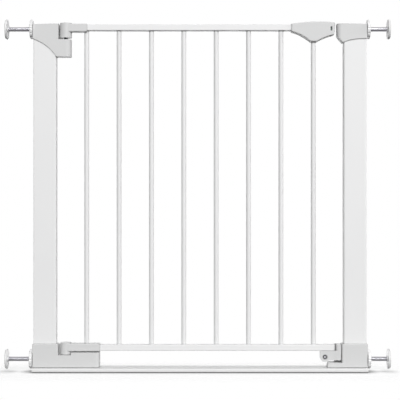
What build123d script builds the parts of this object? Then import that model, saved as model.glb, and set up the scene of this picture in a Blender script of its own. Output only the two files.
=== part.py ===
import os

from build123d import *

os.makedirs("parts", exist_ok=True)

# Frame: two posts on a threshold bar, with half the opening and the height of the caps' shoulders
opening_half = 299.6
frame_height = 725.5
post_width = 48.0
post_depth = 25.0
post_wall = 1.5
post_corner = 3.0
post_drop = 21.5
threshold_depth = 46.0
threshold_height = 9.8
threshold_wall = 2.0
threshold_corner = 4.0
threshold_bevel = 2.2
threshold_overhang = 2.0

# Corner feet, moulded round the foot of each post
foot_depth = 34.0
foot_top = 59.0
foot_corner = 3.0
foot_edge = 1.5
foot_hem = 1.0
foot_outer_skin = 2.2
foot_inner_skin = 3.9
foot_floor = 3.0
spigot_height = 34.0
toe_length = 30.0
toe_rake = 2.5
toe_height = 10.3
stop_wall_depth = 6.0
stop_wall_height = 48.0

# Caps on the posts, measured down from their shoulders
cap_skin = 2.2
cap_outer_skin = 1.0
cap_inner_skin = 4.6
cap_rise = 1.5
cap_edge = 1.2
seam_drop = 30.5
seam_bulge = 5.0
seam_round = 1.5
ear_drop = 67.1
ear_height = 35.6
ear_reach = 11.7
ear_round = 10.2
lip_reach = 6.0
lip_thick = 3.6
catch_reach = 14.1
catch_round = 9.0
catch_lip_drop = 24.0
catch_chin_drop = 37.7
catch_bulge = 2.6
catch_crown = 0.7

# Hinge beside the left post, its base and the lower arm as long as each other
hinge_inset = 19.1
pin_r = 4.0
pin_sink = 30.0
top_pin_length = 57.0
bottom_pin_sink = 20.0
bottom_pin_length = 39.0
top_knuckle_r = 12.4
top_knuckle_height = 31.3
top_knuckle_gap = 4.0
bottom_knuckle_r = 11.4
bottom_knuckle_height = 25.1
bottom_knuckle_gap = 0.4
hinge_base_length = 71.0
hinge_base_height = 31.7
hinge_base_round = 8.0
knuckle_seat = 36.0
slot_clearance = 0.5
arm_depth = 22.5
arm_corner = 2.0
top_arm_past_bar = 1.0
top_arm_over = 1.3
top_arm_under = 2.7
bottom_arm_over = 2.4
bottom_arm_under = 0.9

# Door: two rails and eight bars
bar_count = 8
bar_margin = 62.44
bar_r = 5.0
bar_wall = 1.0
rail_height = 12.8
rail_depth = 18.0
rail_wall = 1.2
rail_corner = 1.6
top_rail_drop = 12.5
bottom_rail_bottom = 44.4
rail_inset = 15.0
top_rail_past_bar = 9.0
plug_flange = 1.5
plug_length = 14.0

# Latch handle on the end of the top rail, measured over and under it
handle_before = 46.6
latch_gap = 3.2
handle_depth = 24.0
handle_wall = 2.2
handle_rim = 2.5
handle_start_over = 1.0
handle_start_under = 2.5
handle_peak_over = 5.6
handle_end_over = 4.0
handle_end_under = 8.8
handle_chin_under = 23.2
chin_half = 7.0
chin_round = 4.0
tip_rake = 2.0
tip_round = 3.0
left_wing_dip = 2.7
right_wing_dip = 1.6
boss_r = 3.4
boss_under = 4.2
boss_before = 21.0
boss_after = 15.0
window_set_back = 8.3
window_width = 3.6
window_height = 9.0
well_length = 26.0
well_half = 5.5
well_depth = 2.6
well_wall = 2.0
well_set_back = 3.5

# Latch bolt, its spring and its thumb slide
bolt_rise = 4.0
bolt_half = 7.0
bolt_height = 13.0
bolt_length = 24.5
bolt_set_back = 0.5
bolt_travel = 10.0
bolt_nose = 2.0
pocket_spare = 1.0
spring_r = 3.2
spring_wire_r = 0.5
spring_turns = 7
spring_bore_r = 4.3
spring_bore_depth = 10.0
stem_length = 6.0
stem_half = 2.2
stem_sink = 1.5
stem_set = 0.6
pad_length = 15.0
pad_thick = 2.6
pad_lead = 4.6
pad_grooves = 4
pad_groove = 0.9
flag_length = 10.0
flag_height = 10.0
flag_thick = 1.2
flag_set = 2.5

# Opening stop under the end of the bottom rail
stop_boss_back = 33.8
stop_boss_drop = 13.2
stop_boss_r = 10.2
stop_arm_drop = 20.0
stop_front = 8.4
stop_back = 3.0
stop_round = 3.0
finger_width = 11.2
finger_slot = 2.6
finger_rise = 13.6
finger_back = 6.0
finger_round = 5.0
stop_recess_r = 5.6
stop_recess = 3.0
stop_gap = 0.9
bracket_thick = 2.0
bracket_inset = 3.0

# Threaded spindles, hand nuts and wall pads
left_gap = 59.25
right_gap = 49.75
spindle_r = 5.0
spindle_length = 70.0
spindle_seat = 2.4
top_axis_drop = 9.2
bottom_axis = 26.7
nut_r = 20.0
nut_thick = 6.4
nut_edge = 2.0
nut_scallops = 12
nut_scallop_r = 4.0
nut_scallop_depth = 1.0
pad_r = 21.0
pad_rim = 4.8
pad_hub = 6.3
pad_hub_r = 6.4
pad_edge = 1.5
grip_thick = 1.4
grip_inset = 1.5
grip_edge = 0.5

# Screws
screw_r = 1.75
screw_head_r = 3.2
screw_head = 2.0
screw_length = 8.0
foot_screw_r = 2.0
foot_screw_head_r = 3.8
foot_screw_head = 2.4
foot_screw_length = 12.0
foot_screw_spread = 14.0
foot_screw_access_r = 5.0
cap_screw_drop = 5.5
stop_screw_head_r = 4.2
stop_screw_length = 9.0

# Clearances
moulding_fit = 0.1
spindle_fit = 0.06
pin_fit = 0.05
screw_fit = 0.05
slide_fit = 0.4
nut_gap = 0.3
door_gap = 0.5

# Places that follow from the sizes above
frame_x = (left_gap - right_gap) / 2
post_mid = opening_half + post_width / 2
post_out = opening_half + post_width
post_foot = threshold_height + foot_floor
post_top = frame_height - post_drop
collar_in = opening_half - foot_inner_skin
collar_out = post_out + foot_outer_skin
collar_mid = (collar_in + collar_out) / 2
cap_depth = post_depth + 2 * cap_skin
cap_in = opening_half - cap_inner_skin
cap_out = post_out + cap_outer_skin
cap_screw_z = post_top - cap_screw_drop
seam_top = frame_height - seam_drop
catch_in = opening_half - catch_reach
catch_lip = frame_height - catch_lip_drop
catch_chin = frame_height - catch_chin_drop
ear_bottom = frame_height - ear_drop
ear_top = ear_bottom + ear_height
hinge_offset = opening_half - hinge_inset
ear_end = hinge_offset - ear_reach
hinge_base_end = hinge_offset - hinge_base_length
hinge_base_top = threshold_height + hinge_base_height
rail_start = hinge_offset - rail_inset
top_rail_bottom = frame_height - top_rail_drop
top_rail_top = top_rail_bottom + rail_height
bottom_rail_top = bottom_rail_bottom + rail_height
bar_last = opening_half - bar_margin
bar_pitch = 2 * bar_last / (bar_count - 1)
top_arm_end = bar_last - top_arm_past_bar
top_rail_end = bar_last + top_rail_past_bar
handle_start = bar_last - handle_before
handle_end = catch_in - latch_gap
handle_start_top = top_rail_top + handle_start_over
handle_start_low = top_rail_bottom - handle_start_under
handle_peak = top_rail_top + handle_peak_over
handle_end_top = top_rail_top + handle_end_over
handle_end_low = top_rail_bottom - handle_end_under
handle_chin = top_rail_bottom - handle_chin_under
boss_z = top_rail_bottom - boss_under
window_x = handle_end - window_set_back
bolt_z = top_rail_bottom + bolt_rise
bolt_back = handle_end - bolt_set_back - bolt_length
finger_end = collar_in - stop_gap
finger_start = finger_end - finger_width
bottom_rail_end = finger_start - finger_slot - plug_flange
stop_wall_length = collar_in - bottom_rail_end - plug_flange - door_gap
stop_boss_x = finger_end - stop_boss_back
stop_boss_z = bottom_rail_bottom - stop_boss_drop
top_axis = frame_height - top_axis_drop
grip_r = pad_r - grip_inset


def plan(height, x=0.0):
    """Level plane at this height, with its origin x from the middle of the frame."""
    return Plane((frame_x + x, 0, height))


def elevation(depth, x=0.0, z=0.0):
    """Upright plane facing the viewer at this depth."""
    return Plane((frame_x + x, depth, z), x_dir=(1, 0, 0), z_dir=(0, -1, 0))


def rear(depth, x, z):
    """Upright plane facing away from the viewer, the seat of a screw at the back."""
    return Plane((frame_x + x, depth, z), x_dir=(-1, 0, 0), z_dir=(0, 1, 0))


def section(x):
    """Upright plane across the gate, facing right."""
    return Plane((frame_x + x, 0, 0), x_dir=(0, 1, 0), z_dir=(1, 0, 0))


def drill(seat, radius, depth):
    """Cut a round hole into the piece being built, from the seat inwards."""
    with BuildSketch(seat) as face:
        Circle(radius)
    extrude(face.sketch, amount=-depth, mode=Mode.SUBTRACT)


def screw(seat, radius, length, head_radius, head):
    """Add one screw to the piece being built, with its head on the seat."""
    with BuildSketch(seat) as face:
        Circle(radius)
    extrude(face.sketch, amount=-length)
    with BuildSketch(seat) as face:
        Circle(head_radius)
    extrude(face.sketch, amount=head, taper=15)


def save(name, piece):
    piece.part.label = name
    export_step(piece.part, f"parts/{name}.step")


def post_socket(side, bottom, top):
    """Cut the room that a post takes up in the moulding being built."""
    with BuildSketch(plan(bottom, side * post_mid)) as face:
        RectangleRounded(
            post_width + 2 * moulding_fit,
            post_depth + 2 * moulding_fit,
            post_corner + moulding_fit,
        )
    extrude(face.sketch, amount=top - bottom, mode=Mode.SUBTRACT)


def spindle_bore(side, outer, axis):
    """Bore the moulding being built for a spindle, from its outer face to the post's inner wall."""
    with BuildSketch(section(side * outer)) as face:
        with Locations((0, axis)):
            Circle(spindle_r + spindle_fit)
    extrude(face.sketch, amount=-side * (outer - opening_half - post_wall), mode=Mode.SUBTRACT)


def foot_screw_seats(side):
    """Undersides of the threshold's top wall, where the screws of one foot sit."""
    height = threshold_height - threshold_wall
    places = (post_mid - foot_screw_spread, post_mid + foot_screw_spread)
    return [
        Plane((frame_x + side * x, 0, height), x_dir=(1, 0, 0), z_dir=(0, 0, -1))
        for x in places
    ]


def cap_screw_seat(side):
    """Rear face of a cap, where its screw sits."""
    return rear(cap_depth / 2, side * post_mid, cap_screw_z)


# Posts: rectangular tubes with a hole for the lower spindle in the outer wall
for side, name in ((-1, "left"), (1, "right")):
    with BuildPart() as post:
        with BuildSketch(plan(post_foot, side * post_mid)):
            RectangleRounded(post_width, post_depth, post_corner)
            RectangleRounded(
                post_width - 2 * post_wall,
                post_depth - 2 * post_wall,
                post_corner - post_wall,
                mode=Mode.SUBTRACT,
            )
        extrude(amount=post_top - post_foot)
        with BuildSketch(section(side * post_mid)):
            with Locations((0, bottom_axis)):
                Circle(spindle_r + moulding_fit)
        extrude(amount=side * post_width, mode=Mode.SUBTRACT)
        drill(cap_screw_seat(side), screw_r + screw_fit, cap_depth / 2)
    save(f"{name}_post", post)

# Threshold: a flat tube, rounded along the top, bevelled at the floor and holed underneath for the screws
threshold_half = post_out + threshold_overhang
with BuildPart() as threshold_bar:
    with BuildSketch(section(-threshold_half)) as tube:
        with Locations((0, threshold_height / 2)):
            Rectangle(threshold_depth, threshold_height)
        fillet(tube.vertices().group_by(Axis.Y)[-1], threshold_corner)
        chamfer(tube.vertices().group_by(Axis.Y)[0], threshold_bevel)
        offset(amount=-threshold_wall, mode=Mode.SUBTRACT)
    extrude(amount=2 * threshold_half)
    for side in (-1, 1):
        for seat in foot_screw_seats(side):
            drill(seat, foot_screw_r + screw_fit, threshold_wall)
        with BuildSketch(plan(0, side * post_mid)):
            with Locations((-foot_screw_spread, 0), (foot_screw_spread, 0)):
                Circle(foot_screw_access_r)
        extrude(amount=threshold_wall, mode=Mode.SUBTRACT)
save("threshold_bar", threshold_bar)

with BuildPart() as threshold_screws:
    for side in (-1, 1):
        for seat in foot_screw_seats(side):
            screw(
                seat,
                foot_screw_r,
                foot_screw_length,
                foot_screw_head_r,
                foot_screw_head,
            )
save("threshold_screws", threshold_screws)


def collar(side):
    """Add the sleeve round one post's foot, with softened top edges."""
    with BuildSketch(plan(threshold_height, side * collar_mid)) as face:
        RectangleRounded(collar_out - collar_in, foot_depth, foot_corner)
    extrude(face.sketch, amount=foot_top - threshold_height)


def fit_post(side):
    """Cut the post's socket in the foot, and stand the spigot in it that fills the tube."""
    post_socket(side, post_foot, foot_top + foot_edge)
    with BuildSketch(plan(threshold_height, side * post_mid)) as face:
        RectangleRounded(
            post_width - 2 * post_wall - 2 * moulding_fit,
            post_depth - 2 * post_wall - 2 * moulding_fit,
            post_corner - post_wall - moulding_fit,
        )
    extrude(face.sketch, amount=spigot_height)
    spindle_bore(side, collar_out, bottom_axis)
    for seat in foot_screw_seats(side):
        drill(seat, foot_screw_r + screw_fit, foot_screw_length + screw_fit)


def knuckle_lip(inner_face, bottom, top):
    """Add the lip at the rear that closes the gap beside a hinge knuckle."""
    with BuildSketch(plan(bottom, -inner_face)) as face:
        with Locations((0, cap_depth / 2)):
            Rectangle(2 * lip_reach, lip_thick, align=(Align.CENTER, Align.MAX))
    extrude(face.sketch, amount=top - bottom)


# Left corner foot: collar and hinge base, with the slot that the lower knuckle drops into
with BuildPart() as left_corner_foot:
    collar(-1)
    fillet(left_corner_foot.faces().sort_by(Axis.Z)[-1].edges(), foot_edge)
    base_length = collar_in + foot_corner - hinge_base_end
    with BuildSketch(plan(threshold_height, -hinge_base_end - base_length / 2)) as base:
        Rectangle(base_length, foot_depth)
        fillet(base.vertices().group_by(Axis.X)[-1], hinge_base_round)
    extrude(amount=hinge_base_height)
    slot_end = hinge_offset - bottom_knuckle_r - slot_clearance
    with BuildSketch(elevation(foot_depth)):
        with Locations((-collar_in, knuckle_seat)):
            Rectangle(
                collar_in - slot_end,
                foot_top,
                align=(Align.MIN, Align.MIN),
            )
    extrude(amount=2 * foot_depth, mode=Mode.SUBTRACT)
    knuckle_lip(collar_in, threshold_height, foot_top - foot_edge)
    chamfer(left_corner_foot.faces().sort_by(Axis.Z)[0].outer_wire().edges(), foot_hem)
    fit_post(-1)
    drill(plan(knuckle_seat, -hinge_offset), pin_r + pin_fit, bottom_pin_sink)
save("left_corner_foot", left_corner_foot)

# Right corner foot: collar, low toe with a raked end, and the wall that the door closes against
with BuildPart() as right_corner_foot:
    collar(1)
    fillet(right_corner_foot.faces().sort_by(Axis.Z)[-1].edges(), foot_edge)
    with BuildSketch(elevation(foot_depth / 2)):
        with BuildLine():
            Polyline(
                (collar_in - toe_length, threshold_height),
                (collar_in - toe_length + toe_rake, threshold_height + toe_height),
                (collar_in + foot_corner, threshold_height + toe_height),
                (collar_in + foot_corner, threshold_height),
                close=True,
            )
        make_face()
    extrude(amount=foot_depth)
    with BuildSketch(plan(threshold_height, collar_in + foot_corner)):
        with Locations((0, finger_back + door_gap)):
            Rectangle(
                stop_wall_length + foot_corner,
                stop_wall_depth,
                align=(Align.MAX, Align.MIN),
            )
    extrude(amount=stop_wall_height)
    chamfer(right_corner_foot.faces().sort_by(Axis.Z)[0].outer_wire().edges(), foot_hem)
    fit_post(1)
save("right_corner_foot", right_corner_foot)

# Hinge cap: skirt with a curved lower seam over the post, and an ear for the upper hinge pin
with BuildPart() as hinge_cap:
    with BuildSketch(elevation(cap_depth / 2)):
        with BuildLine():
            brow = Line((-cap_out, frame_height), (-cap_in, frame_height + cap_rise))
            flank = Line(brow @ 1, (-cap_in, ear_bottom))
            hem = Line(flank @ 1, (-opening_half, ear_bottom))
            seam = SagittaArc(hem @ 1, (-cap_out, seam_top), -seam_bulge)
            Line(seam @ 1, brow @ 0)
        make_face()
    extrude(amount=cap_depth)
    fillet(hinge_cap.edges().filter_by(GeomType.CIRCLE), seam_round)
    fillet(hinge_cap.edges().filter_by(Axis.Z).group_by(Axis.X)[0], cap_edge)
    with BuildSketch(plan(ear_bottom, -ear_end)) as ear:
        Rectangle(cap_in - ear_end + cap_edge, cap_depth, align=(Align.MAX, Align.CENTER))
        fillet(ear.vertices().group_by(Axis.X)[-1], ear_round)
    extrude(amount=ear_height)
    knuckle_lip(cap_in, ear_bottom, frame_height)
    post_socket(-1, 0, post_top)
    spindle_bore(-1, cap_out, top_axis)
    drill(plan(ear_top, -hinge_offset), pin_r + pin_fit, pin_sink)
    drill(cap_screw_seat(-1), screw_r + screw_fit, cap_depth / 2)
save("hinge_cap", hinge_cap)

# Latch catch: cap on the right post whose rounded nose holds the pocket for the bolt
with BuildPart() as latch_catch:
    with BuildSketch(plan(0, catch_in)) as nose:
        Rectangle(cap_out - catch_in, cap_depth, align=(Align.MIN, Align.CENTER))
        fillet(nose.vertices().group_by(Axis.X)[0], catch_round)
        fillet(nose.vertices().group_by(Axis.X)[-1], cap_edge)
    extrude(amount=frame_height + 2 * cap_rise)
    with BuildSketch(elevation(cap_depth)):
        with BuildLine():
            brow_end = (catch_in, frame_height + cap_rise)
            brow = SagittaArc((cap_out, frame_height), brow_end, -catch_crown)
            tip = Line(brow @ 1, (catch_in, catch_lip))
            slant = Line(tip @ 1, (opening_half - cap_edge, catch_chin))
            seam = SagittaArc(slant @ 1, (cap_out, seam_top), catch_bulge)
            Line(seam @ 1, brow @ 0)
        make_face()
    extrude(amount=2 * cap_depth, mode=Mode.INTERSECT)
    fillet(latch_catch.edges().filter_by(GeomType.CIRCLE).group_by(Axis.Z)[0], seam_round)
    post_socket(1, 0, post_top)
    spindle_bore(1, cap_out, top_axis)
    with BuildSketch(section(catch_in)):
        with Locations((0, bolt_z)):
            Rectangle(2 * (bolt_half + slide_fit), bolt_height + 2 * slide_fit)
    extrude(amount=bolt_travel + pocket_spare, mode=Mode.SUBTRACT)
    drill(cap_screw_seat(1), screw_r + screw_fit, cap_depth / 2)
save("latch_catch", latch_catch)

with BuildPart() as cap_screws:
    for side in (-1, 1):
        screw(cap_screw_seat(side), screw_r, screw_length, screw_head_r, screw_head)
save("cap_screws", cap_screws)

# Hinge pins: plain steel rods, sunk in the ear and in the hinge base
with BuildPart() as top_hinge_pin:
    with BuildSketch(plan(ear_top - pin_sink, -hinge_offset)):
        Circle(pin_r)
    extrude(amount=top_pin_length)
save("top_hinge_pin", top_hinge_pin)

with BuildPart() as bottom_hinge_pin:
    with BuildSketch(plan(knuckle_seat - bottom_pin_sink, -hinge_offset)):
        Circle(pin_r)
    extrude(amount=bottom_pin_length)
save("bottom_hinge_pin", bottom_hinge_pin)


def rail(bottom, end):
    """Add a rail's tube, from its hinge end to the end given."""
    with BuildSketch(section(-rail_start)) as face:
        with Locations((0, bottom + rail_height / 2)):
            RectangleRounded(rail_depth, rail_height, rail_corner)
            RectangleRounded(
                rail_depth - 2 * rail_wall,
                rail_height - 2 * rail_wall,
                rail_corner - rail_wall,
                mode=Mode.SUBTRACT,
            )
    extrude(face.sketch, amount=rail_start + end)


def rail_plug(bottom, end):
    """Add the plug that closes a rail's end."""
    with BuildSketch(section(end)) as face:
        with Locations((0, bottom + rail_height / 2)):
            RectangleRounded(rail_depth, rail_height, rail_corner)
    extrude(face.sketch, amount=plug_flange)
    with BuildSketch(section(end)) as face:
        with Locations((0, bottom + rail_height / 2)):
            RectangleRounded(
                rail_depth - 2 * rail_wall - 2 * moulding_fit,
                rail_height - 2 * rail_wall - 2 * moulding_fit,
                rail_corner - rail_wall - moulding_fit,
            )
    extrude(face.sketch, amount=-plug_length)


def rail_room(bottom, start, end):
    """Cut the room that a rail takes up in the moulding being built."""
    with BuildSketch(section(start)) as face:
        with Locations((0, bottom + rail_height / 2)):
            RectangleRounded(
                rail_depth + 2 * moulding_fit,
                rail_height + 2 * moulding_fit,
                rail_corner + moulding_fit,
            )
    extrude(face.sketch, amount=end - start, mode=Mode.SUBTRACT)


def bar_room(x, bottom, top):
    """Cut the hole that a bar passes through in the moulding being built."""
    with BuildSketch(plan(bottom, x)) as face:
        Circle(bar_r + moulding_fit)
    extrude(face.sketch, amount=top - bottom, mode=Mode.SUBTRACT)


# Rails, with a plug in the free end of each
with BuildPart() as top_rail:
    rail(top_rail_bottom, top_rail_end)
save("top_rail", top_rail)

with BuildPart() as bottom_rail:
    rail(bottom_rail_bottom, bottom_rail_end)
save("bottom_rail", bottom_rail)

with BuildPart() as top_rail_plug:
    rail_plug(top_rail_bottom, top_rail_end)
save("top_rail_plug", top_rail_plug)

with BuildPart() as bottom_rail_plug:
    rail_plug(bottom_rail_bottom, bottom_rail_end)
save("bottom_rail_plug", bottom_rail_plug)

# Bars: round tubes welded between the rails
for number in range(bar_count):
    with BuildPart() as bar:
        with BuildSketch(plan(bottom_rail_top, number * bar_pitch - bar_last)):
            Circle(bar_r)
            Circle(bar_r - bar_wall, mode=Mode.SUBTRACT)
        extrude(amount=top_rail_bottom - bottom_rail_top)
    save(f"bar_{number + 1}", bar)


def hinge_arm(knuckle_bottom, knuckle_height, knuckle_r, arm_bottom, arm_top, arm_end):
    """Add a knuckle and the sleeve that runs from it over the rail."""
    with BuildSketch(plan(knuckle_bottom, -hinge_offset)) as face:
        Circle(knuckle_r)
    extrude(face.sketch, amount=knuckle_height)
    with BuildSketch(section(-hinge_offset)) as face:
        with Locations((0, (arm_bottom + arm_top) / 2)):
            RectangleRounded(arm_depth, arm_top - arm_bottom, arm_corner)
    extrude(face.sketch, amount=hinge_offset - arm_end)


# Hinge arms: sleeves on the rails, notched for the first bar and bored for the pins
with BuildPart() as top_hinge_arm:
    knuckle_bottom = ear_top + top_knuckle_gap
    arm_bottom = top_rail_bottom - top_arm_under
    arm_top = top_rail_top + top_arm_over
    hinge_arm(
        knuckle_bottom,
        top_knuckle_height,
        top_knuckle_r,
        arm_bottom,
        arm_top,
        top_arm_end,
    )
    rail_room(top_rail_bottom, -rail_start, -top_arm_end)
    bar_room(-bar_last, arm_bottom, top_rail_bottom)
    with BuildSketch(plan(knuckle_bottom, -hinge_offset)):
        Circle(pin_r + pin_fit)
    extrude(
        amount=ear_top - pin_sink + top_pin_length + slide_fit - knuckle_bottom,
        mode=Mode.SUBTRACT,
    )
save("top_hinge_arm", top_hinge_arm)

with BuildPart() as bottom_hinge_arm:
    knuckle_bottom = knuckle_seat + bottom_knuckle_gap
    arm_bottom = bottom_rail_bottom - bottom_arm_under
    arm_top = bottom_rail_top + bottom_arm_over
    hinge_arm(
        knuckle_bottom,
        bottom_knuckle_height,
        bottom_knuckle_r,
        arm_bottom,
        arm_top,
        hinge_base_end,
    )
    rail_room(bottom_rail_bottom, -rail_start, -hinge_base_end)
    bar_room(-bar_last, bottom_rail_top, arm_top)
    with BuildSketch(plan(knuckle_bottom, -hinge_offset)):
        Circle(pin_r + pin_fit)
    extrude(
        amount=knuckle_seat - bottom_pin_sink + bottom_pin_length + slide_fit - knuckle_bottom,
        mode=Mode.SUBTRACT,
    )
save("bottom_hinge_arm", bottom_hinge_arm)


def handle_outline(shrink=0.0):
    """Draw the handle's front outline: a long crown over two drawn-in wings and a chin at the bar."""
    with BuildSketch(mode=Mode.PRIVATE) as outline:
        with BuildLine():
            crown = ThreePointArc(
                (handle_start, handle_start_top),
                (bar_last, handle_peak),
                (handle_end, handle_end_top),
            )
            tip = Line(crown @ 1, (handle_end - tip_rake, handle_end_low))
            right = SagittaArc(tip @ 1, (bar_last + chin_half, handle_chin), -right_wing_dip)
            chin = Line(right @ 1, (bar_last - chin_half, handle_chin))
            left = SagittaArc(chin @ 1, (handle_start, handle_start_low), -left_wing_dip)
            Line(left @ 1, crown @ 0)
        make_face()
        fillet(outline.vertices().sort_by(Axis.X)[-2:], tip_round)
        fillet(outline.vertices().group_by(Axis.Y)[0], chin_round)
        if shrink:
            offset(amount=-shrink, kind=Kind.INTERSECTION, mode=Mode.REPLACE)
    add(outline.sketch)


handle_screw_places = ((bar_last - boss_before, boss_z), (bar_last + boss_after, boss_z))
well_end = handle_end - well_set_back
well_floor = handle_end_top - well_depth


def handle_shell(side):
    """Add one half of the handle, from the parting plane out to the front (-1) or the rear (1)."""
    half = handle_depth / 2
    with BuildSketch(elevation(0)) as face:
        handle_outline()
    extrude(face.sketch, amount=-side * half)


def fit_handle(side):
    """Hollow one half of the handle and fit it to the rail, the bar and the latch."""
    half = handle_depth / 2
    with BuildSketch(elevation(0)) as face:
        handle_outline(handle_wall)
    extrude(face.sketch, amount=-side * (half - handle_wall), mode=Mode.SUBTRACT)
    for x, z in handle_screw_places:
        with BuildSketch(elevation(0, x, z)) as face:
            Circle(boss_r)
        extrude(face.sketch, amount=-side * (half - handle_wall))
        drill(rear(half, x, z), screw_r + screw_fit, half + screw_length / 2)
    with BuildSketch(plan(well_floor - well_wall, well_end + handle_wall / 2)) as face:
        Rectangle(
            well_length + well_wall + handle_wall / 2,
            half - handle_wall / 2,
            align=(Align.MAX, Align.MIN if side > 0 else Align.MAX),
        )
    extrude(face.sketch, amount=handle_end_top - handle_wall / 4 - well_floor + well_wall)
    with BuildSketch(plan(well_floor, well_end)) as face:
        Rectangle(well_length, 2 * well_half, align=(Align.MAX, Align.CENTER))
    extrude(face.sketch, amount=handle_peak - well_floor, mode=Mode.SUBTRACT)
    with BuildSketch(plan(well_floor - well_wall, bolt_back + stem_set - slide_fit)) as face:
        Rectangle(
            stem_length + bolt_travel + 2 * slide_fit,
            2 * (stem_half + slide_fit),
            align=(Align.MIN, Align.CENTER),
        )
    extrude(face.sketch, amount=well_wall, mode=Mode.SUBTRACT)
    rail_room(top_rail_bottom, handle_start - handle_wall, top_rail_end)
    bar_room(bar_last, handle_chin - chin_round, top_rail_bottom)
    with BuildSketch(section(bolt_back)) as face:
        with Locations((0, bolt_z)):
            Rectangle(2 * (bolt_half + slide_fit), bolt_height + 2 * slide_fit)
    extrude(face.sketch, amount=bolt_length + bolt_travel, mode=Mode.SUBTRACT)


# Handle: two moulded halves that close on the end of the top rail
with BuildPart() as handle_front_shell:
    handle_shell(-1)
    fillet(handle_front_shell.faces().sort_by(Axis.Y)[0].edges(), handle_rim)
    fit_handle(-1)
    with BuildSketch(elevation(0, window_x, bolt_z)):
        RectangleRounded(window_width, window_height, window_width / 4)
    extrude(amount=handle_depth, mode=Mode.SUBTRACT)
save("handle_front_shell", handle_front_shell)

with BuildPart() as handle_rear_shell:
    handle_shell(1)
    fillet(handle_rear_shell.faces().sort_by(Axis.Y)[-1].edges(), handle_rim)
    fit_handle(1)
save("handle_rear_shell", handle_rear_shell)

with BuildPart() as handle_screws:
    for x, z in handle_screw_places:
        screw(
            rear(handle_depth / 2, x, z),
            screw_r,
            handle_depth / 2 + screw_length / 2,
            screw_head_r,
            screw_head,
        )
save("handle_screws", handle_screws)

# Latch bolt: bevelled bar with a bore for the spring, a seat for the slide and one for the indicator
with BuildPart() as latch_bolt:
    with BuildSketch(section(bolt_back)):
        with Locations((0, bolt_z)):
            Rectangle(2 * bolt_half, bolt_height)
    extrude(amount=bolt_length)
    chamfer(latch_bolt.faces().sort_by(Axis.X)[-1].edges().filter_by(Axis.Z), bolt_nose)
    with BuildSketch(section(bolt_back)):
        with Locations((0, bolt_z)):
            Circle(spring_bore_r)
    extrude(amount=spring_bore_depth, mode=Mode.SUBTRACT)
    with BuildSketch(plan(bolt_z + bolt_height / 2 - stem_sink, bolt_back + stem_set)):
        Rectangle(stem_length, 2 * stem_half, align=(Align.MIN, Align.CENTER))
    extrude(amount=stem_sink, mode=Mode.SUBTRACT)
    flag_x = bolt_back + bolt_length - flag_set - flag_length / 2
    with BuildSketch(elevation(-bolt_half, flag_x, bolt_z)):
        Rectangle(flag_length, flag_height)
    extrude(amount=-flag_thick, mode=Mode.SUBTRACT)
save("latch_bolt", latch_bolt)

with BuildPart() as lock_indicator:
    with BuildSketch(elevation(-bolt_half, flag_x, bolt_z)):
        Rectangle(flag_length, flag_height)
    extrude(amount=-flag_thick)
save("lock_indicator", lock_indicator)

# Thumb slide: grooved pad in the handle's well, on a stem that is seated in the bolt
with BuildPart() as release_slider:
    pad_bottom = well_floor + slide_fit / 2
    pad_x = bolt_back + stem_set - pad_lead
    with BuildSketch(plan(pad_bottom, pad_x)):
        Rectangle(
            pad_length,
            2 * (well_half - slide_fit),
            align=(Align.MIN, Align.CENTER),
        )
    extrude(amount=pad_thick)
    groove_step = pad_length / (pad_grooves + 1)
    with BuildSketch(elevation(0, pad_x, pad_bottom + pad_thick)):
        with Locations(*[(groove_step * (n + 1), 0) for n in range(pad_grooves)]):
            Circle(pad_groove)
    extrude(amount=well_half, both=True, mode=Mode.SUBTRACT)
    stem_bottom = bolt_z + bolt_height / 2 - stem_sink
    with BuildSketch(plan(stem_bottom, bolt_back + stem_set)):
        Rectangle(stem_length, 2 * stem_half, align=(Align.MIN, Align.CENTER))
    extrude(amount=pad_bottom - stem_bottom)
save("release_slider", release_slider)

# Spring: coil between the rail's plug and the bottom of the bolt's bore
spring_start = top_rail_end + plug_flange + spring_wire_r
spring_length = bolt_back + spring_bore_depth - spring_wire_r - spring_start
with BuildPart() as bolt_spring:
    with BuildLine() as coil:
        Helix(
            spring_length / spring_turns,
            spring_length,
            spring_r,
            center=(frame_x + spring_start, 0, bolt_z),
            direction=(1, 0, 0),
        )
    with BuildSketch(coil.line ^ 0):
        RegularPolygon(spring_wire_r, 6)
    sweep(is_frenet=True)
save("bolt_spring", bolt_spring)

# Opening stop: arm with a screw boss and an upright finger that meets the foot's stop wall
with BuildPart() as opening_stop:
    arm_low = bottom_rail_bottom - stop_arm_drop
    with BuildSketch(elevation(stop_back)) as arm:
        with BuildLine():
            Polyline(
                (stop_boss_x - stop_boss_r, bottom_rail_bottom),
                (finger_end, bottom_rail_bottom),
                (finger_end, arm_low),
                (stop_boss_x, arm_low),
                (stop_boss_x - stop_boss_r, stop_boss_z),
                close=True,
            )
        make_face()
        fillet(arm.vertices().sort_by(Axis.X)[-2:].sort_by(Axis.Y)[0], stop_round)
        with Locations((stop_boss_x, stop_boss_z)):
            Circle(stop_boss_r)
    extrude(amount=stop_back + stop_front)
    with BuildSketch(plan(arm_low + stop_round, finger_start)) as finger:
        with Locations((0, -stop_front)):
            Rectangle(finger_width, stop_front + finger_back, align=(Align.MIN, Align.MIN))
        fillet(finger.vertices().group_by(Axis.Y)[0].sort_by(Axis.X)[0], finger_round)
    extrude(amount=bottom_rail_bottom + finger_rise - arm_low - stop_round)
    boss_face = elevation(-stop_front, stop_boss_x, stop_boss_z)
    drill(boss_face, stop_recess_r, stop_recess)
    drill(boss_face, screw_r + screw_fit, stop_front + stop_back)
save("opening_stop", opening_stop)

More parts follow.
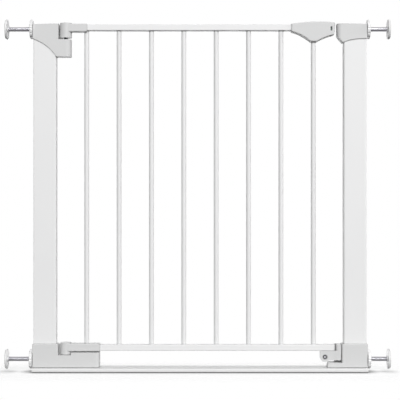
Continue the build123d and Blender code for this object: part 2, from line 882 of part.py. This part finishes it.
# Steel tab under the rail that carries the opening stop
with BuildPart() as stop_bracket:
    with BuildSketch(elevation(stop_back + bracket_thick)) as tab:
        with Locations((stop_boss_x, bottom_rail_bottom)):
            Rectangle(
                2 * (stop_boss_r - bracket_inset),
                stop_boss_drop + stop_boss_r - bracket_inset,
                align=(Align.CENTER, Align.MAX),
            )
        fillet(tab.vertices().group_by(Axis.Y)[0], stop_round)
    extrude(amount=bracket_thick)
    drill(boss_face, screw_r + screw_fit, stop_front + stop_back + bracket_thick)
save("stop_bracket", stop_bracket)

with BuildPart() as stop_screw:
    screw_seat = elevation(stop_recess - stop_front, stop_boss_x, stop_boss_z)
    screw(screw_seat, screw_r, stop_screw_length, stop_screw_head_r, screw_head)
save("stop_screw", stop_screw)


def axis_plane(side, x, axis):
    """Plane across a spindle at x from the middle of the frame, facing outwards."""
    return Plane((frame_x + side * x, 0, axis), x_dir=(0, side, 0), z_dir=(side, 0, 0))


# Wall fixings: at each corner a spindle with its pad and rubber face, and the nut that moves it
corners = (
    ("top_left", -1, left_gap, top_axis, cap_out),
    ("top_right", 1, right_gap, top_axis, cap_out),
    ("bottom_left", -1, left_gap, bottom_axis, collar_out),
    ("bottom_right", 1, right_gap, bottom_axis, collar_out),
)
for corner, side, gap, axis, face in corners:
    reach = post_out + gap
    with BuildPart() as spindle:
        with BuildSketch(axis_plane(side, reach - spindle_seat, axis)):
            Circle(spindle_r)
        extrude(amount=-spindle_length)
    save(f"{corner}_spindle", spindle)

    with BuildPart() as wall_pad:
        with BuildSketch(axis_plane(side, reach - grip_thick, axis)):
            Circle(pad_r)
        extrude(amount=grip_thick - pad_rim)
        fillet(wall_pad.edges().filter_by(GeomType.CIRCLE), pad_edge)
        with BuildSketch(axis_plane(side, reach - pad_rim, axis)):
            Circle(pad_hub_r)
        extrude(amount=pad_rim - pad_hub, taper=10)
        pad_mouth = axis_plane(-side, pad_hub - reach, axis)
        drill(pad_mouth, spindle_r + spindle_fit, pad_hub - spindle_seat)
    save(f"{corner}_wall_pad", wall_pad)

    with BuildPart() as pad_grip:
        with BuildSketch(axis_plane(side, reach - grip_thick, axis)):
            Circle(grip_r)
        extrude(amount=grip_thick)
        chamfer(pad_grip.edges().filter_by(GeomType.CIRCLE), grip_edge)
    save(f"{corner}_pad_grip", pad_grip)

    with BuildPart() as hand_nut:
        with BuildSketch(axis_plane(side, face + nut_gap, axis)):
            Circle(nut_r)
        extrude(amount=nut_thick)
        fillet(hand_nut.edges().filter_by(GeomType.CIRCLE), nut_edge)
        with BuildSketch(axis_plane(side, face + nut_gap, axis)):
            with PolarLocations(nut_r + nut_scallop_r - nut_scallop_depth, nut_scallops):
                Circle(nut_scallop_r)
            Circle(spindle_r + spindle_fit)
        extrude(amount=nut_thick, mode=Mode.SUBTRACT)
    save(f"{corner}_hand_nut", hand_nut)
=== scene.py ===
import math

import bmesh
import bpy
from mathutils import Matrix, Vector


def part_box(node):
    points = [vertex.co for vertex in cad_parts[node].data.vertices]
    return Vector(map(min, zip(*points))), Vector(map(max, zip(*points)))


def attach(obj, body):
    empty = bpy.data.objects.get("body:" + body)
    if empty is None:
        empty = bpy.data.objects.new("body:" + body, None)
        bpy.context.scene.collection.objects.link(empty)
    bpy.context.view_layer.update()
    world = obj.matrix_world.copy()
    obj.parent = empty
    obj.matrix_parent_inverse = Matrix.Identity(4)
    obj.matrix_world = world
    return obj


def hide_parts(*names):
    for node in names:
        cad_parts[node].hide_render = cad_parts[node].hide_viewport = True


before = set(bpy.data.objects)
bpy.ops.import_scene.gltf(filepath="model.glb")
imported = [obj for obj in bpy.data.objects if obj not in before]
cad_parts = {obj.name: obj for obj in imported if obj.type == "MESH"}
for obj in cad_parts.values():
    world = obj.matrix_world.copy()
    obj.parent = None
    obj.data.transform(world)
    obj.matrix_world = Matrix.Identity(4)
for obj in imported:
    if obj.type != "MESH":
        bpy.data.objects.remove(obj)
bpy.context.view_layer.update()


# Posts: rectangular steel tubes, sprayed with white powder and baked.
# The coat is a satin skin with a fine orange peel, turned a little grey in the seams as painted
# shade.
class Wire:
    """One socket of a finish. Sums, differences and products of wires add Math nodes."""

    def __init__(self, tree, socket=None):
        self.tree = tree
        self.socket = socket

    def node(self, kind, settings, sockets, out=0):
        """Add a node with these settings and these socket values or links, and give one output."""
        made = self.tree.nodes.new("ShaderNode" + kind)
        for name, value in settings.items():
            setattr(made, name, value)
        for name, value in sockets.items():
            if isinstance(value, Wire):
                self.tree.links.new(value.socket, made.inputs[name])
            else:
                made.inputs[name].default_value = value
        return Wire(self.tree, made.outputs[out] if made.outputs else None)

    def math(self, operation, first, second=0.0):
        return self.node("Math", {"operation": operation}, {0: first, 1: second})

    def __add__(self, other):
        return self.math("ADD", self, other)

    def __radd__(self, other):
        return self.math("ADD", other, self)

    def __sub__(self, other):
        return self.math("SUBTRACT", self, other)

    def __rsub__(self, other):
        return self.math("SUBTRACT", other, self)

    def __mul__(self, other):
        return self.math("MULTIPLY", self, other)

    def __rmul__(self, other):
        return self.math("MULTIPLY", other, self)

    def __pow__(self, other):
        return self.math("POWER", self, other)

    def __gt__(self, other):
        return self.math("GREATER_THAN", self, other)


def new_finish(name):
    """A material with an empty tree, and the wire that reads places on the piece."""
    made = bpy.data.materials.new(name)
    made.use_nodes = True
    made.node_tree.nodes.clear()
    return made, Wire(made.node_tree).node("TexCoord", {}, {}, "Object")


def grain(at, per_metre, detail):
    return at.node("TexNoise", {}, {"Vector": at, "Scale": per_metre, "Detail": detail})


def blend(share, one, other):
    """From one colour to the other, each a colour or the wire of one."""
    ends = [colour if isinstance(colour, Wire) else (*colour, 1) for colour in (one, other)]
    return share.node("Mix", {"data_type": "RGBA"}, {0: share, 6: ends[0], 7: ends[1]}, 2)


def crevice_shade(at, reach=0.003, strength=1.2):
    """Painted shade from ambient occlusion: 0 on an open surface, and more in seams and corners
    within this reach.
    """
    openness = at.node("AmbientOcclusion", {"samples": 8}, {"Distance": reach}, "AO")
    return (1 - openness) * strength


def relief(height, depth, strength):
    return height.node("Bump", {}, {"Height": height, "Distance": depth, "Strength": strength})


def close_finish(at, values):
    shader = at.node("BsdfPrincipled", {}, values)
    at.node("OutputMaterial", {}, {"Surface": shader})


def dress(finish, *names):
    """Put a finish on these pieces of the frame."""
    for name in names:
        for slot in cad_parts[name].material_slots:
            slot.material = finish


# The grey that seams and corners turn towards: painted shade.
seam_shade_grey = (0.30, 0.30, 0.30)
powder_coat, at = new_finish("white_powder_coat")
peel = grain(at, 640, 1)
specks = grain(at, 2600, 2)
drift = grain(at, 7, 2)
clean = blend(drift, (0.795, 0.797, 0.800), (0.825, 0.825, 0.825))
close_finish(at, {
    # Painted shade darkens the coat in its seams and corners.
    "Base Color": blend(crevice_shade(at), clean, seam_shade_grey),
    "Roughness": 0.40 + 0.10 * peel + 0.08 * specks,
    "Specular IOR Level": 0.30,
    "Normal": relief(peel + 0.35 * specks, 0.0001, 0.3),
})
dress(powder_coat, "left_post", "right_post")


# Threshold: a flat steel tube that lies on the floor and is stepped over.
# It has the posts' coat, dulled and darkened along the top by fine scuffs across the bar, that
# darkening partly painted shade on the top face, and it has painted shade along its foot at the
# floor.
tread_level = 0.0085
# Heights where the painted shade along the foot is full, and where it is gone.
foot_shade_full = 0.0016
foot_shade_end = 0.0040
scuffs_per_metre = (900, 60, 200)
scuffed_shaded_coat, at = new_finish("scuffed_and_shaded_powder_coat")
peel = grain(at, 640, 1)
scuff_places = at.node("Mapping", {}, {"Vector": at, "Scale": scuffs_per_metre})
scuffs = grain(scuff_places, 1, 3)
height = at.node("SeparateXYZ", {}, {"Vector": at}, "Z")
# Darker scuffs on the top face: partly wear, partly painted shade on the top.
scuffs_and_top_shade = (height > tread_level) * scuffs
# Painted shade along the foot of the bar: darkest at the floor, fading out a few millimetres up.
painted_foot_shade = at.node("MapRange", {"interpolation_type": "SMOOTHSTEP"}, {
    "Value": height + 0.0012 * scuffs,
    "From Min": foot_shade_full, "From Max": foot_shade_end, "To Min": 0.9, "To Max": 0.0,
})
scuffed_and_shaded = blend(scuffs_and_top_shade, (0.72, 0.72, 0.72), (0.62, 0.62, 0.62))
close_finish(at, {
    # Painted shade in the seams and along the foot darkens the coat.
    "Base Color": blend(crevice_shade(at) + painted_foot_shade, scuffed_and_shaded, seam_shade_grey),
    "Roughness": 0.40 + 0.10 * peel + 0.16 * scuffs_and_top_shade,
    "Specular IOR Level": 0.30,
    "Normal": relief(peel + 0.6 * scuffs_and_top_shade, 0.0001, 0.3),
})
dress(scuffed_shaded_coat, "threshold_bar")


# Corner feet and caps: white mouldings on the ends of the posts, with hinge base, toe and catch.
# The mould is spark-eroded, so the plastic has a close matt grain and reads greyer than the coat.
moulding, at = new_finish("fine_grained_moulding")
pits = at.node("TexVoronoi", {}, {"Vector": at, "Scale": 1500})
sheen = grain(at, 30, 2)
clean = blend(sheen, (0.618, 0.622, 0.622), (0.65, 0.65, 0.65))
close_finish(at, {
    # Painted shade darkens the moulding in its seams and corners.
    "Base Color": blend(crevice_shade(at), clean, seam_shade_grey),
    "Roughness": 0.46 + 0.10 * sheen + 0.12 * pits,
    "Normal": relief(pits, 0.00006, 0.35),
})
dress(moulding, "left_corner_foot", "right_corner_foot", "hinge_cap", "latch_catch")


# Screws of the caps and feet: zinc-plated pan heads with a cross recess.
# One holds each cap from behind, and two come up through the threshold into each foot.
zinc_plate, at = new_finish("bright_zinc_plate")
bloom = grain(at, 260, 3)
tint = grain(at, 45, 1)
close_finish(at, {
    "Base Color": blend(tint, (0.62, 0.61, 0.66), (0.68, 0.68, 0.69)),
    "Metallic": 1.0,
    "Roughness": 0.24 + 0.18 * bloom,
    "Normal": relief(bloom, 0.00004, 0.2),
})


def ring_out(mesh, rim, wide, up):
    """Draw the open rim of a mesh out to a new width and height, and give the new rim."""
    drawn = bmesh.ops.extrude_edge_only(mesh, edges=rim)["geom"]
    verts = [v for v in drawn if isinstance(v, bmesh.types.BMVert)]
    radius = max(v.co.xy.length for v in verts)
    level = verts[0].co.z
    bmesh.ops.scale(mesh, verts=verts, vec=(wide / radius, wide / radius, 1))
    bmesh.ops.translate(mesh, verts=verts, vec=(0, 0, up - level))
    return [e for e in drawn if isinstance(e, bmesh.types.BMEdge) and e.is_boundary]


def cross_head_screw(head_r, head, shank_r, length, flange_r):
    """One screw, its head standing on the level z = 0 and its shank below it."""
    mesh = bmesh.new()
    top = bmesh.ops.create_grid(mesh, x_segments=5, y_segments=5, size=0.62 * head_r)["verts"]
    bmesh.ops.translate(mesh, verts=top, vec=(0, 0, head))
    for vert in top:
        if vert.is_boundary:
            vert.co.xy = vert.co.xy.normalized() * 0.72 * head_r
    rim = [e for e in mesh.edges if e.is_boundary]

    arm = 0.13 * head_r
    reach = 0.6 * head_r
    cross = [
        f for f in mesh.faces
        if min(map(abs, f.calc_center_median().xy)) < arm
        and max(map(abs, f.calc_center_median().xy)) < reach
    ]
    recess = bmesh.ops.extrude_face_region(mesh, geom=cross)["geom"]
    bmesh.ops.delete(mesh, geom=cross, context="FACES")
    bottom = [v for v in recess if isinstance(v, bmesh.types.BMVert)]
    bmesh.ops.translate(mesh, verts=bottom, vec=(0, 0, -0.6 * head))
    bmesh.ops.scale(mesh, verts=bottom, vec=(0.8, 0.8, 1))

    for wide, up in ((0.9 * head_r, 0.82 * head), (head_r, 0.45 * head), (head_r, 0.25 * head)):
        rim = ring_out(mesh, rim, wide, up)
    bare = set(mesh.faces)
    for wide, up in ((flange_r, 0.2 * head), (flange_r, 0)):
        rim = ring_out(mesh, rim, wide, up)
    for face in set(mesh.faces) - bare:
        face.material_index = 1

    rim = ring_out(mesh, rim, shank_r, 0)
    turns = 6
    for turn in range(turns):
        rim = ring_out(mesh, rim, 0.75 * shank_r, -length * (turn + 0.5) / turns)
        rim = ring_out(mesh, rim, shank_r, -length * (turn + 0.9) / turns)
    ring_out(mesh, rim, 0.4 * shank_r, -length)
    bmesh.ops.holes_fill(mesh, edges=[e for e in mesh.edges if e.is_boundary], sides=0)
    bmesh.ops.recalc_face_normals(mesh, faces=mesh.faces)
    return mesh


def finished_piece(name, mesh, finish, body, slot, *nodes):
    """Make a piece of a finished mesh, and put it in place of its nodes on their body."""
    data = bpy.data.meshes.new(name)
    mesh.to_mesh(data)
    mesh.free()
    data.materials.append(finish)
    piece = bpy.data.objects.new(name, data)
    bpy.context.scene.collection.objects.link(piece)
    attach(piece, body)
    if nodes:
        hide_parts(*nodes)
    return piece


def set_screws(name, pattern, places, body, node, flange_finish):
    """Set copies of one screw, each with its head towards a direction, at these places."""
    whole = bmesh.new()
    for place, towards in places:
        turn = Vector(towards).to_track_quat("Z", "Y").to_matrix().to_4x4()
        copy = bpy.data.meshes.new(name)
        one = pattern.copy()
        bmesh.ops.transform(one, matrix=Matrix.Translation(place) @ turn, verts=one.verts)
        one.to_mesh(copy)
        whole.from_mesh(copy)
        one.free()
        bpy.data.meshes.remove(copy)
    pattern.free()
    piece = finished_piece(name, whole, zinc_plate, body, "zinc_steel", node)
    piece.data.materials.append(flange_finish)


post_x = [sum(corner.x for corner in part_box(post)) / 2 for post in ("left_post", "right_post")]
cap_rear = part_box("hinge_cap")[1].y
cap_screw_z = sum(corner.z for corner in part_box("cap_screws")) / 2
cap_screw = cross_head_screw(
    head_r=0.0031, head=0.0020, shank_r=0.00175, length=0.008, flange_r=0.0032
)
cap_places = [((x, cap_rear, cap_screw_z), (0, 1, 0)) for x in post_x]
set_screws("cap_cross_screws", cap_screw, cap_places, "frame", "cap_screws", zinc_plate)

foot_head = 0.0024
foot_spread = 0.014
foot_screw = cross_head_screw(
    head_r=0.0037, head=foot_head, shank_r=0.0020, length=0.012, flange_r=0.0038
)
foot_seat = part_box("threshold_screws")[0].z + foot_head
foot_places = [
    ((x + step, 0, foot_seat), (0, 0, -1)) for x in post_x for step in (-foot_spread, foot_spread)
]
set_screws(
    "threshold_cross_screws", foot_screw, foot_places, "frame", "threshold_screws", zinc_plate
)


# Hinge pins: plain drawn steel rods that stand in the ear and in the hinge base, coloured near
# black as painted shade.
# Only a dark stub of each shows, in the gap under its knuckle, where the dark colour stands in for
# the shade there.
shade_black_steel, at = new_finish("painted_shade_black_steel")
bloom = grain(at, 300, 3)
close_finish(at, {
    "Base Color": blend(bloom, (0.050, 0.050, 0.054), (0.085, 0.085, 0.090)),
    "Metallic": 0.5,
    "Roughness": 0.36 + 0.20 * bloom,
    "Normal": relief(bloom, 0.00004, 0.2),
})
dress(shade_black_steel, "top_hinge_pin", "bottom_hinge_pin")


# Door: two rectangular rails and eight round bars, steel tube under the same powder coat.
# Each bar is welded to the rails, and the coat flows over the bead at its ends.
# The first bar's ends and the last one's top lie inside mouldings, and show no bead.
bars = [f"bar_{number}" for number in range(1, 9)]
dress(powder_coat, "top_rail", "bottom_rail", *bars)

bar_r = 0.005
bead = 0.0012
bead_steps = 6
sunk_in_rail = 0.0003
sunk_in_bar = 0.0001
rail_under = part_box("top_rail")[0].z
rail_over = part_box("bottom_rail")[1].z
bead_places = [(bar, rail_under, 1) for bar in bars[1:-1]]
bead_places += [(bar, rail_over, -1) for bar in bars[1:]]
beads = bmesh.new()
for bar, level, up in bead_places:
    low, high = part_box(bar)
    middle = Vector(((low.x + high.x) / 2, (low.y + high.y) / 2, level))
    path = [beads.verts.new(middle + Vector((bar_r + bead, 0, up * sunk_in_rail)))]
    for step in range(bead_steps + 1):
        turn = math.pi / 2 * step / bead_steps
        out = bar_r - sunk_in_bar + bead * (1 - math.sin(turn))
        drop = bead * (1 - math.cos(turn))
        path.append(beads.verts.new(middle + Vector((out, 0, -up * drop))))
    runs = [beads.edges.new(pair) for pair in zip(path, path[1:])]
    bmesh.ops.spin(
        beads, geom=path + runs, cent=middle, axis=(0, 0, 1), angle=math.tau, steps=32,
        use_merge=True,
    )
bmesh.ops.recalc_face_normals(beads, faces=beads.faces)
bead_piece = finished_piece("bar_weld_beads", beads, powder_coat, "door", "powder_coat")
bead_piece.data.shade_smooth()


# Hinge arms and rail plugs: mouldings of the same grained plastic as the caps.
# The arms are pushed over the hinge ends of the rails, the plugs into their open ends.
dress(moulding, "top_hinge_arm", "bottom_hinge_arm", "top_rail_plug", "bottom_rail_plug")


# Latch handle: two halves of the same moulding that close round the end of the top rail.
# Two long zinc-plated screws draw them together from behind.
dress(moulding, "handle_front_shell", "handle_rear_shell")
handle_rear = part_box("handle_rear_shell")[1].y
handle_flange = 0.0032
handle_screw = cross_head_screw(
    head_r=0.0031, head=0.0020, shank_r=0.00175, length=0.015, flange_r=handle_flange
)
screw_low, screw_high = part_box("handle_screws")
handle_places = [
    ((x, handle_rear, (screw_low.z + screw_high.z) / 2), (0, 1, 0))
    for x in (screw_low.x + handle_flange, screw_high.x - handle_flange)
]
set_screws("handle_cross_screws", handle_screw, handle_places, "door", "handle_screws", zinc_plate)


# Latch: a moulded bolt with its thumb slide and spring, all inside the handle.
# A dark green plate on the bolt shows through the small window when the gate is shut.
dress(moulding, "latch_bolt", "release_slider")
dress(zinc_plate, "bolt_spring")
flag_green, at = new_finish("indicator_green")
mottle = grain(at, 900, 2)
close_finish(at, {
    "Base Color": blend(mottle, (0.060, 0.090, 0.080), (0.080, 0.110, 0.100)),
    "Roughness": 0.45 + 0.15 * mottle,
    "Normal": relief(mottle, 0.00005, 0.2),
})
dress(flag_green, "lock_indicator")


# Opening stop: a moulded hook under the bottom rail, screwed to a steel tab that is welded there.
# Its screw sits in a round well on a broad flange coloured near black, painted shade that shows as
# a dark ring round the head.
dress(moulding, "opening_stop")
dress(powder_coat, "stop_bracket")
stop_head = 0.0020
stop_screw = cross_head_screw(
    head_r=0.0023, head=stop_head, shank_r=0.00175, length=0.009, flange_r=0.0042
)
stop_low, stop_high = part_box("stop_screw")
stop_middle = (stop_low + stop_high) / 2
stop_place = (stop_middle.x, stop_low.y + stop_head, stop_middle.z)
stop_places = [(stop_place, (0, -1, 0))]
# The flange takes the near-black finish: painted shade in the well.
set_screws("stop_cross_screw", stop_screw, stop_places, "door", "stop_screw", shade_black_steel)


# Spindles: steel rods with a rolled 10 mm metric thread, zinc plated, darker towards the thread's
# roots as painted shade.
# Each runs from the wall pad through its nut into the post.
thread_crest = 0.005
thread_root = 0.0041
thread_pitch = 0.0015
root_shade_per_metre = 1100


def from_rod_axis(at):
    """How far a place is from the axis of its own rod, of the upper or the lower pair."""
    axis_high = 0.7163
    axis_low = 0.0267
    between = 0.37
    across = at.node("SeparateXYZ", {}, {"Vector": at}, "Y")
    height = at.node("SeparateXYZ", {}, {"Vector": at}, "Z")
    rise = height - (axis_low + (axis_high - axis_low) * (height > between))
    return (across * across + rise * rise) ** 0.5


thread_finish, at = new_finish("zinc_plated_thread")
bloom = grain(at, 260, 3)
# Painted shade in the thread: the colour darkens from crest to root.
root_shade = (thread_crest - from_rod_axis(at)) * root_shade_per_metre
close_finish(at, {
    "Base Color": blend(root_shade, (0.69, 0.685, 0.71), (0.44, 0.435, 0.46)),
    "Metallic": 1.0,
    "Roughness": 0.24 + 0.14 * bloom + 0.12 * root_shade,
    "Normal": relief(bloom, 0.00004, 0.2),
})


def rolled_thread(low, high, crest, root, pitch, sides):
    """A threaded rod along X between two corners of its box."""
    mesh = bmesh.new()
    middle = (low + high) / 2
    start = low.x - pitch
    shape = ((0, root), (0.1, root), (0.48, crest), (0.62, crest), (1, root))
    path = [mesh.verts.new((start + share * pitch, middle.y, middle.z + r)) for share, r in shape]
    runs = [mesh.edges.new(pair) for pair in zip(path, path[1:])]
    turns = math.ceil((high.x - low.x) / pitch) + 2
    bmesh.ops.spin(
        mesh, geom=path + runs, cent=middle, axis=(1, 0, 0), dvec=(pitch / sides, 0, 0),
        angle=math.tau * turns, steps=sides * turns,
    )
    bmesh.ops.remove_doubles(mesh, verts=mesh.verts, dist=0.00001)
    for place, outwards in ((low, -1), (high, 1)):
        everything = list(mesh.verts) + list(mesh.edges) + list(mesh.faces)
        bmesh.ops.bisect_plane(
            mesh, geom=everything, plane_co=place, plane_no=(outwards, 0, 0), clear_outer=True
        )
    bmesh.ops.holes_fill(mesh, edges=[e for e in mesh.edges if e.is_boundary], sides=0)
    bmesh.ops.recalc_face_normals(mesh, faces=mesh.faces)
    return mesh


corners = ("top_left", "top_right", "bottom_left", "bottom_right")
for corner in corners:
    spindle = f"{corner}_spindle"
    low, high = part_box(spindle)
    rod = rolled_thread(low, high, thread_crest, thread_root, thread_pitch, sides=20)
    finished_piece(
        f"{corner}_threaded_rod", rod, thread_finish, f"{corner}_fixing", "zinc_steel", spindle
    )


# Hand nuts and wall pads: smooth white mouldings, glossier than the caps and feet.
# The nuts are scalloped round the rim for the fingers, and run on the spindles' thread.
smooth_white, at = new_finish("smooth_white_moulding")
flow = grain(at, 60, 2)
touch = grain(at, 1800, 2)
close_finish(at, {
    "Base Color": blend(flow, (0.78, 0.78, 0.785), (0.82, 0.82, 0.82)),
    "Roughness": 0.24 + 0.10 * flow + 0.05 * touch,
    "Normal": relief(touch, 0.00003, 0.25),
})
dress(smooth_white, *[f"{corner}_hand_nut" for corner in corners])
dress(smooth_white, *[f"{corner}_wall_pad" for corner in corners])


# Pad grips: pale rubber discs fixed to the outer faces of the pads.
# They are moulded with fine rings that hold on the wall.
ring_pitch = 0.0025
soft_rubber, at = new_finish("ringed_pale_rubber")
phase = from_rod_axis(at) * (math.tau / ring_pitch)
rings = phase.math("SINE", phase) * 0.5 + 0.5
chalk = grain(at, 700, 3)
close_finish(at, {
    "Base Color": blend(chalk, (0.60, 0.60, 0.60), (0.68, 0.68, 0.67)),
    "Roughness": 0.66 + 0.16 * chalk,
    "Normal": relief(rings + 0.15 * chalk, 0.0006, 0.6),
})
dress(soft_rubber, *[f"{corner}_pad_grip" for corner in corners])


# Studio: a pale floor under the gate that keeps its shadow, with a painted contact shadow where its
# glow dims near the gate, a white backdrop all round, soft lamps in front and on the right, a strip
# lamp on the left and a bright wall behind the gate.
floor_mesh = bmesh.new()
bmesh.ops.create_circle(floor_mesh, cap_ends=True, radius=1.2, segments=64)
floor_data = bpy.data.meshes.new("pale_floor")
floor_mesh.to_mesh(floor_data)
floor_mesh.free()
floor = bpy.data.objects.new("pale_floor", floor_data)
bpy.context.scene.collection.objects.link(floor)


def seen_by_eye(start, mirrored):
    """1 for a ray from the camera or through glass, this share for a mirrored one, else 0."""
    kinds = ("Camera", "Glossy", "Transmission")
    eye, mirror, through = [start.node("LightPath", {}, {}, f"Is {kind} Ray") for kind in kinds]
    return eye.math("MAXIMUM", eye.math("MAXIMUM", eye, mirror * mirrored), through)


def outside(place, half):
    """How far a place on one axis is beyond this half width, or 0 within it."""
    past = place.math("ABSOLUTE", place) - half
    return past.math("MAXIMUM", past)


half_length = 0.36
half_depth = 0.02
fade_start = 0.01
fade_end = 0.16
shadow_reach = 0.025
floor_finish, at = new_finish("pale_floor")
beyond = outside(at.node("SeparateXYZ", {}, {"Vector": at}, "X"), half_length)
away = outside(at.node("SeparateXYZ", {}, {"Vector": at}, "Y"), half_depth)
near = at.node("MapRange", {"interpolation_type": "SMOOTHSTEP"}, {
    "Value": (beyond * beyond + away * away) ** 0.5,
    "From Min": fade_start, "From Max": fade_end, "To Min": 1.0, "To Max": 0.0,
})
# Painted contact shadow: the floor's glow is dimmed by ambient occlusion near the gate.
openness = 1 - crevice_shade(at, shadow_reach, 1.0)
matt = at.node("BsdfDiffuse", {}, {"Color": (0.35, 0.35, 0.35, 1)})
glow = at.node("Emission", {}, {"Strength": seen_by_eye(at, 0.5) * openness * openness * 0.70})
pale = at.node("AddShader", {}, {0: matt, 1: glow})
clear = at.node("BsdfTransparent", {}, {})
look = at.node("MixShader", {}, {0: near, 1: clear, 2: pale})
at.node("OutputMaterial", {}, {"Surface": look})
floor_data.materials.append(floor_finish)

backdrop = bpy.data.worlds.new("white_backdrop")
backdrop.use_nodes = True
backdrop.node_tree.nodes.clear()
sky = Wire(backdrop.node_tree)
towards = sky.node("TexCoord", {}, {}, "Generated")
upward = sky.node("SeparateXYZ", {}, {"Vector": towards}, "Z")
ceiling = sky.node("MapRange", {}, {
    "Value": upward, "From Min": -0.15, "From Max": 0.5, "To Min": 0.02, "To Max": 0.14,
})
bright_half = sky.node("MapRange", {}, {
    "Value": upward, "From Min": -0.35, "From Max": 0.15, "To Min": 0.4, "To Max": 1.0,
})
behind_gate = (-0.1, 0.995, 0.0)
rearward = sky.node(
    "VectorMath", {"operation": "DOT_PRODUCT"}, {0: towards, 1: behind_gate}, "Value"
)
rear_wall = sky.node("MapRange", {"interpolation_type": "SMOOTHSTEP"}, {
    "Value": rearward, "From Min": 0.86, "From Max": 0.95, "To Min": 0.0, "To Max": 4.4,
})
plain = ceiling + rear_wall
seen = seen_by_eye(sky, bright_half)
light = sky.node("Background", {}, {
    "Color": (1, 1, 1, 1), "Strength": plain + (1 - plain) * seen,
})
sky.node("OutputWorld", {}, {"Surface": light})
bpy.context.scene.world = backdrop

lamp_aim = Vector((0.0, 0.0, 0.36))
for name, place, width, height, watts in (
    ("front_lamp", (0.8, -12.6, 5.6), 5.0, 5.0, 1740),
    ("right_lamp", (3.4, -0.4, 1.2), 2.0, 2.0, 52),
    ("left_strip", (-3.4, 0.0, 0.36), 0.02, 1.4, 26),
):
    lamp = bpy.data.lights.new(name, "AREA")
    lamp.shape = "RECTANGLE"
    lamp.size = width
    lamp.size_y = height
    lamp.energy = watts
    holder = bpy.data.objects.new(name, lamp)
    holder.location = place
    holder.rotation_euler = (lamp_aim - Vector(place)).to_track_quat("-Z", "Y").to_euler()
    bpy.context.scene.collection.objects.link(holder)


# Camera: square to the gate and level with the middle of the bars, as in the photograph.
# A long lens from well away keeps the posts upright and their inner sides narrow.
gate_middle = 0.00475
camera_away = 2.6
eye_level = 0.3592
lens = bpy.data.cameras.new("front_camera")
lens.sensor_width = 36.0
lens.lens = 111.75
camera = bpy.data.objects.new("front_camera", lens)
camera.location = (gate_middle, -camera_away, eye_level)
camera.rotation_euler = (math.pi / 2, 0, 0)
bpy.context.scene.collection.objects.link(camera)
bpy.context.scene.camera = camera
bpy.context.scene.view_settings.view_transform = "Standard"
